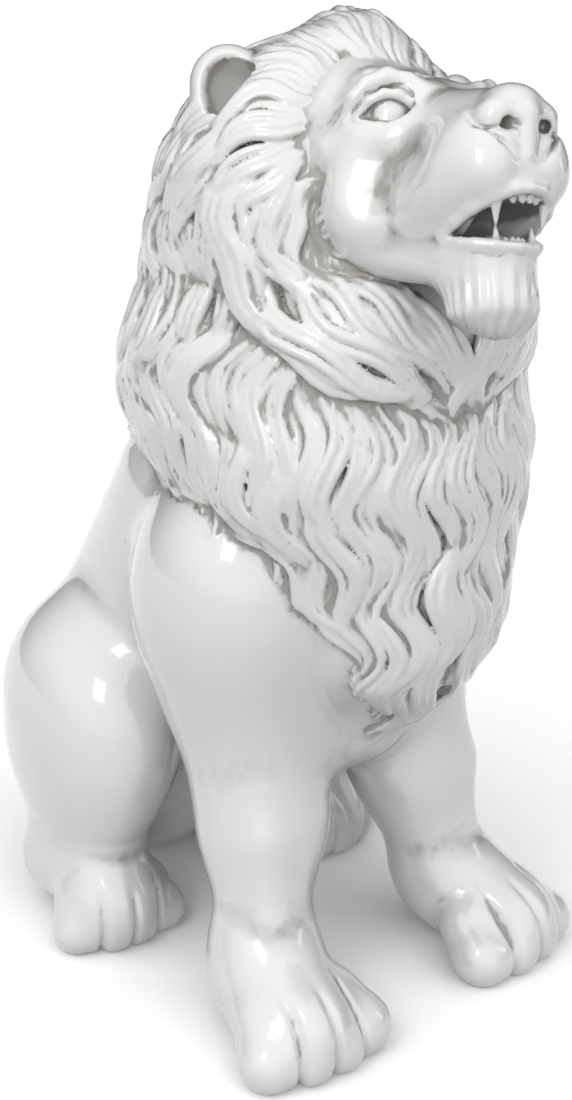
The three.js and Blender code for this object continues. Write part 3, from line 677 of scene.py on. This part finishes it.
def layLock(marks, field, strands):
    # strands run softly into one lock, which lies sharply on the hair below
    margin = max(radii.max() for _, radii in strands) + 2 * net["plainStep"]
    low = np.min([route.min(0) for route, _ in strands], 0) - margin
    high = np.max([route.max(0) for route, _ in strands], 0) + margin
    edges = [np.searchsorted(marks[a], (low[a], high[a])) for a in range(3)]
    own = None
    for route, radii in strands:
        one = strandForm(marks, edges, route, radii)
        own = one if own is None else melt(own, one, mane["within"])
    box = tuple(slice(*e) for e in edges)
    field[box] = melt(field[box], own, mane["between"])


def growMane(marks, field):
    rng = np.random.default_rng(mane["seed"])
    for tier in tiers:
        locks = [one for side in (-1, 1) for one in growTier(tier, side, rng)]
        for strands in locks:
            layLock(marks, field, strands)
        report(f"{len(locks)} locks of hair")


ear = {
    "middle": (170, -182, 80),
    "shell": (54, 34, 66),
    "cupMiddle": (187, -154, 78),
    "cup": (40, 29, 50),
    "turn": -30,
    "lean": 20,
    "reach": 110,
}


def growEars(marks, field):
    turned = {"turn": ear["turn"], "lean": ear["lean"]}
    for side in (-1, 1):
        middle = fromHead((side * ear["middle"][0],) + ear["middle"][1:])
        ends = [(middle[a] - ear["reach"], middle[a] + ear["reach"]) for a in range(3)]
        box = tuple(slice(*np.searchsorted(marks[a], ends[a])) for a in range(3))
        points = boxPoints(*(marks[a][box[a]] for a in range(3)))
        m = mirrored(toHead(points))
        shell = ball(m, ear["middle"], ear["shell"], **turned)
        cup = ball(m, ear["cupMiddle"], ear["cup"], **turned)
        d = melt(field[box].ravel(), shell, 8)
        field[box] = carve(d, cup, 5).reshape(field[box].shape)


# skin: one vertex in each cell that the surface crosses, and a square over each crossed edge

def skinOf(marks, field):
    inside = field < 0
    some, every = inside, inside
    for a in range(3):
        one = tuple(slice(0, -1) if n == a else slice(None) for n in range(3))
        two = tuple(slice(1, None) if n == a else slice(None) for n in range(3))
        some, every = some[one] | some[two], every[one] & every[two]
    active = some & ~every
    cells = np.argwhere(active).astype(np.int32)
    ids = np.full(active.shape, -1, np.int32)
    ids[active] = np.arange(len(cells))
    place = np.zeros((len(cells), 3), np.float32)
    crossings = np.zeros(len(cells), np.float32)
    corners = [(i, j, k) for i in (0, 1) for j in (0, 1) for k in (0, 1)]
    values = {c: field[cells[:, 0] + c[0], cells[:, 1] + c[1], cells[:, 2] + c[2]] for c in corners}
    for c in corners:
        for a in range(3):
            if c[a]:
                continue
            far = tuple(1 if n == a else c[n] for n in range(3))
            va, vb = values[c], values[far]
            crossed = (va < 0) != (vb < 0)
            t = np.where(crossed, va / np.where(crossed, va - vb, 1), 0)
            step = np.tile(np.float32(c), (len(cells), 1))
            step[:, a] = t
            place += step * crossed[:, None]
            crossings += crossed
    place /= crossings[:, None]
    points = np.empty_like(place)
    for a in range(3):
        start = marks[a][cells[:, a]]
        points[:, a] = start + place[:, a] * (marks[a][cells[:, a] + 1] - start)
    squares = []
    for a in range(3):
        one = tuple(slice(0, -1) if n == a else slice(1, -1) for n in range(3))
        two = tuple(slice(1, None) if n == a else slice(1, -1) for n in range(3))
        start = inside[one]
        edges = np.argwhere(start != inside[two])
        edges += np.array([0 if n == a else 1 for n in range(3)])
        u, v = (a + 1) % 3, (a + 2) % 3
        ring = []
        for du, dv in ((1, 1), (0, 1), (0, 0), (1, 0)):
            cell = edges.copy()
            cell[:, u] -= du
            cell[:, v] -= dv
            ring.append(ids[cell[:, 0], cell[:, 1], cell[:, 2]])
        ring = np.stack(ring, 1)
        flip = ~inside[edges[:, 0], edges[:, 1], edges[:, 2]]
        ring[flip] = ring[flip][:, ::-1]
        squares.append(ring)
    return points, np.concatenate(squares)


def outerSkin(points, squares):
    # keeps the one skin round the cast, and drops bubbles between the locks
    label = np.arange(len(points))
    while True:
        roots = label[squares]
        least = roots.min(1)
        if (roots == least[:, None]).all():
            break
        for n in range(4):
            np.minimum.at(label, roots[:, n], least)
        while (label != label[label]).any():
            label = label[label]
    names, counts = np.unique(label[squares[:, 0]], return_counts=True)
    squares = squares[label[squares[:, 0]] == names[counts.argmax()]]
    used, squares = np.unique(squares, return_inverse=True)
    return points[used], squares.reshape(-1, 4)


def meshObject(name, points, squares):
    mesh = bpy.data.meshes.new(name)
    mesh.vertices.add(len(points))
    mesh.vertices.foreach_set("co", np.ascontiguousarray(points, np.float32).ravel())
    mesh.loops.add(squares.size)
    mesh.loops.foreach_set("vertex_index", squares.ravel().astype(np.int32))
    mesh.polygons.add(len(squares))
    mesh.polygons.foreach_set("loop_start", np.arange(0, squares.size, 4, dtype=np.int32))
    mesh.update(calc_edges=True)
    piece = bpy.data.objects.new(name, mesh)
    bpy.context.scene.collection.objects.link(piece)
    return piece


def lighten(piece, triangles):
    bpy.context.view_layer.objects.active = piece
    for other in bpy.context.selected_objects:
        other.select_set(False)
    piece.select_set(True)
    mesh = piece.data
    now = len(mesh.loops) - 2 * len(mesh.polygons)
    thin = piece.modifiers.new("thin", "DECIMATE")
    thin.ratio = triangles / now
    thin.use_collapse_triangulate = True
    bpy.ops.object.modifier_apply(modifier=thin.name)
    mesh.validate()  # the thinning can leave a face twice
    report(f"thinned from {now} to {len(piece.data.polygons)} triangles")


def hollowDepths(mesh):
    # how far each vertex lies below its wide surroundings
    n = len(mesh.vertices)
    p = np.empty(n * 3, np.float32)
    mesh.vertices.foreach_get("co", p)
    p = p.reshape(-1, 3).astype(float)
    normals = np.empty(n * 3, np.float32)
    mesh.vertices.foreach_get("normal", normals)
    edges = np.empty(len(mesh.edges) * 2, np.int32)
    mesh.edges.foreach_get("vertices", edges)
    one, two = edges.reshape(-1, 2).T
    ends, others = np.concatenate([one, two]), np.concatenate([two, one])
    count = np.bincount(ends, minlength=n)
    apart = np.bincount(ends, lengths(p[ends] - p[others]), n) / count
    smooth = p
    for _ in range(finish["grooveRounds"]):
        columns = [np.bincount(ends, smooth[others, a], n) for a in range(3)]
        smooth = np.stack(columns, 1) / count[:, None]
    depth = np.einsum("ij,ij->i", smooth - p, normals.reshape(-1, 3))
    return depth * np.clip(finish["grooveSpacing"] / apart, 0, 1) ** 2


def makeLion():
    marks = [axisMarks(a) for a in range(3)]
    field = fillNet(marks)
    growMane(marks, field)
    growEars(marks, field)
    ground = np.searchsorted(marks[2], 0)
    field[:, :, ground:] = np.maximum(field[:, :, ground:], -marks[2][ground:])
    field[:, :, :ground] = np.maximum(field[:, :, :ground], -marks[2][:ground])
    points, squares = outerSkin(*skinOf(marks, field))
    report(f"skin of {len(squares)} squares")
    points = (points - np.float32(cast["middle"])) / 1000  # to metres
    points[:, 2] = np.maximum(points[:, 2], 0)
    piece = meshObject("lionCast", points, squares)
    lighten(piece, cast["triangles"])
    piece.data.shade_smooth()
    # depth below the surroundings, which the finish turns into painted shade in the grooves
    depth = piece.data.attributes.new("grooveDepth", "FLOAT", "POINT")
    depth.data.foreach_set("value", np.float32(hollowDepths(piece.data)))
    return piece


# finish: white gloss lacquer, with painted shade darkening it in the grooves

finish = {
    "lacquer": (0.57, 0.57, 0.565, 1),
    # painted shade: the dark colour laid into hollows and grooves, where less light reaches
    "groove": (0.22, 0.211, 0.199, 1),
    "grooveFrom": 0.0001,   # m below the surroundings
    "grooveTo": 0.0018,
    "grooveRounds": 24,
    "grooveSpacing": 0.005,   # m between vertices, above which a hollow counts less
    "roughness": (0.16, 0.27),
    "tone": (0.96, 1.03),
    "cloudScale": 7,        # of the tone and the roughness
    "peel": 0.06,           # strength of the fine orange peel
    "peelDepth": 0.001,     # m
    "peelScale": 160,
    "lacquerIor": 1.5,
    "coatRoughness": 0.05,
    "coatIor": 1.6,
}


def glossWhite():
    material = bpy.data.materials.new("glossWhite")
    material.use_nodes = True
    nodes, links = material.node_tree.nodes, material.node_tree.links
    shader = nodes["Principled BSDF"]
    place = nodes.new("ShaderNodeTexCoord")
    # painted shade: the deeper a vertex lies below its surroundings, the more the lacquer is mixed
    # towards the dark groove colour
    depth = nodes.new("ShaderNodeAttribute")
    depth.attribute_name = "grooveDepth"
    shadeInGrooves = nodes.new("ShaderNodeMapRange")
    shadeInGrooves.inputs["From Min"].default_value = finish["grooveFrom"]
    shadeInGrooves.inputs["From Max"].default_value = finish["grooveTo"]
    links.new(depth.outputs["Fac"], shadeInGrooves.inputs["Value"])
    cloud = nodes.new("ShaderNodeTexNoise")
    cloud.inputs["Scale"].default_value = finish["cloudScale"]
    cloud.inputs["Detail"].default_value = 3
    links.new(place.outputs["Object"], cloud.inputs["Vector"])
    tone = nodes.new("ShaderNodeMapRange")
    tone.inputs["To Min"].default_value, tone.inputs["To Max"].default_value = finish["tone"]
    links.new(cloud.outputs["Fac"], tone.inputs["Value"])
    colour = nodes.new("ShaderNodeMix")
    colour.data_type = "RGBA"
    colour.inputs["A"].default_value = finish["lacquer"]
    colour.inputs["B"].default_value = finish["groove"]
    links.new(shadeInGrooves.outputs["Result"], colour.inputs["Factor"])
    toned = nodes.new("ShaderNodeVectorMath")
    toned.operation = "SCALE"
    links.new(colour.outputs["Result"], toned.inputs[0])
    links.new(tone.outputs["Result"], toned.inputs["Scale"])
    links.new(toned.outputs["Vector"], shader.inputs["Base Color"])
    gloss = nodes.new("ShaderNodeMapRange")
    gloss.inputs["To Min"].default_value, gloss.inputs["To Max"].default_value = finish["roughness"]
    links.new(cloud.outputs["Fac"], gloss.inputs["Value"])
    links.new(gloss.outputs["Result"], shader.inputs["Roughness"])
    grain = nodes.new("ShaderNodeTexNoise")
    grain.inputs["Scale"].default_value = finish["peelScale"]
    links.new(place.outputs["Object"], grain.inputs["Vector"])
    peel = nodes.new("ShaderNodeBump")
    peel.inputs["Strength"].default_value = finish["peel"]
    peel.inputs["Distance"].default_value = finish["peelDepth"]
    links.new(grain.outputs["Fac"], peel.inputs["Height"])
    links.new(peel.outputs["Normal"], shader.inputs["Normal"])
    links.new(peel.outputs["Normal"], shader.inputs["Coat Normal"])
    shader.inputs["IOR"].default_value = finish["lacquerIor"]
    shader.inputs["Coat Weight"].default_value = 1.0
    shader.inputs["Coat Roughness"].default_value = finish["coatRoughness"]
    shader.inputs["Coat IOR"].default_value = finish["coatIor"]
    return material


# stage: pale floor, a soft dome of light and two soft boxes

studio = {
    "floor": 0.97,
    "floorSize": 120,              # m
    "floorRoughness": 0.7,
    "from": (-0.52, -0.42, 0.74),  # where the dome is brightest
    "bright": 1.75,
    "dim": 0.07,
    "fade": (-0.3, 1.0),           # from its dark side to its bright one
    "keyBox": {"place": (-2.6, -1.0, 3.0), "aim": (0, -0.1, 0.8), "size": (0.9, 1.5), "power": 14},
    "sideBox": {"place": (2.4, -2.2, 1.9), "aim": (0, 0, 0.7), "size": (0.5, 1.6), "power": 5},
}


def makeFloor():
    bpy.ops.mesh.primitive_plane_add(size=studio["floorSize"], location=(0, 0, 0))
    floor = bpy.context.object
    floor.name = "floor"
    material = bpy.data.materials.new("paleFloor")
    material.use_nodes = True
    shader = material.node_tree.nodes["Principled BSDF"]
    grey = studio["floor"]
    shader.inputs["Base Color"].default_value = (grey, grey, grey, 1)
    shader.inputs["Roughness"].default_value = studio["floorRoughness"]
    floor.data.materials.append(material)
    floor.visible_diffuse = False  # no light thrown back up under the cast


def makeDome():
    world = bpy.data.worlds.new("studio")
    bpy.context.scene.world = world
    world.use_nodes = True
    nodes, links = world.node_tree.nodes, world.node_tree.links
    place = nodes.new("ShaderNodeTexCoord")
    facing = nodes.new("ShaderNodeVectorMath")
    facing.operation = "DOT_PRODUCT"
    facing.inputs[1].default_value = Vector(studio["from"]).normalized()
    links.new(place.outputs["Generated"], facing.inputs[0])
    fade = nodes.new("ShaderNodeMapRange")
    fade.interpolation_type = "SMOOTHSTEP"
    fade.inputs["From Min"].default_value, fade.inputs["From Max"].default_value = studio["fade"]
    fade.inputs["To Min"].default_value = studio["dim"]
    fade.inputs["To Max"].default_value = studio["bright"]
    links.new(facing.outputs["Value"], fade.inputs["Value"])
    background = nodes["Background"]
    background.inputs["Color"].default_value = (1, 1, 1, 1)
    links.new(fade.outputs["Result"], background.inputs["Strength"])


def softBox(name):
    box = studio[name]
    light = bpy.data.lights.new(name, "AREA")
    light.shape = "RECTANGLE"
    light.size, light.size_y = box["size"]
    light.energy = box["power"]
    lamp = bpy.data.objects.new(name, light)
    lamp.location = box["place"]
    aim = Vector(box["aim"]) - Vector(box["place"])
    lamp.rotation_euler = aim.to_track_quat("-Z", "Y").to_euler()
    bpy.context.scene.collection.objects.link(lamp)


camera = {
    "place": (-1.4998, -1.7792, 1.50),
    "heading": 40.5,      # degrees from +Y towards +X
    "down": 20.7,
    "focal": 1700,        # in pixels of the 572 x 1100 picture
    "pictureHeight": 1100,
}


def makeCamera():
    data = bpy.data.cameras.new("camera")
    data.sensor_fit = "VERTICAL"
    data.sensor_height = 36
    data.lens = 36 * camera["focal"] / camera["pictureHeight"]
    eye = bpy.data.objects.new("camera", data)
    eye.location = camera["place"]
    turn = (math.radians(90 - camera["down"]), 0, math.radians(-camera["heading"]))
    eye.rotation_euler = turn
    bpy.context.scene.collection.objects.link(eye)
    bpy.context.scene.camera = eye


makeCamera()
makeFloor()
makeDome()
bpy.context.scene.view_settings.view_transform = "Standard"
softBox("keyBox")
softBox("sideBox")
report("studio lit")
lion = makeLion()
lion.data.materials.clear()
lion.data.materials.append(glossWhite())
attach(lion, "root")
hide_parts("lion")
report("lion placed")
